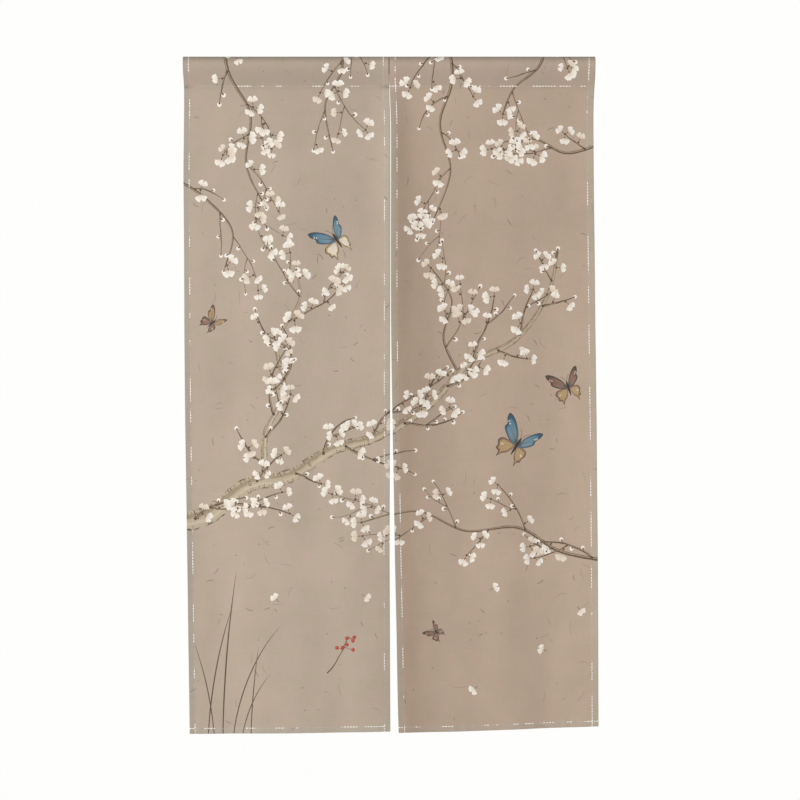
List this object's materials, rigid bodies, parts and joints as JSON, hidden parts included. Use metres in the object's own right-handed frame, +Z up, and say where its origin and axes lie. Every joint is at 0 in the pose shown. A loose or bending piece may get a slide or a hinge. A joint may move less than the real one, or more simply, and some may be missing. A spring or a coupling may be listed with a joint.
{
  "type": "split doorway curtain",
  "caption": "Split doorway curtain of thin printed cloth: two hemmed panels with a slit between them, hanging from a sewn rod pocket along the top.",
  "frame": {"origin": "middle of the curtain's top edge, at the top of the rod pocket", "axes": "+Z up along the hanging cloth, +X to the viewer's right along the top edge, -Y out of the printed front"},
  "size_m": [0.868, 0.0408, 1.415],
  "materials": {
    "printed_linen": "matt plain-weave linen look, printed on the front in warm greige with a twig and leaf pattern",
    "stitching": "cream polyester sewing thread in straight topstitching"
  },
  "bodies": {
    "root": {"heading_left": "printed_linen", "heading_right": "printed_linen", "panel_left": "printed_linen", "panel_right": "printed_linen"}
  },
  "joints": []
}
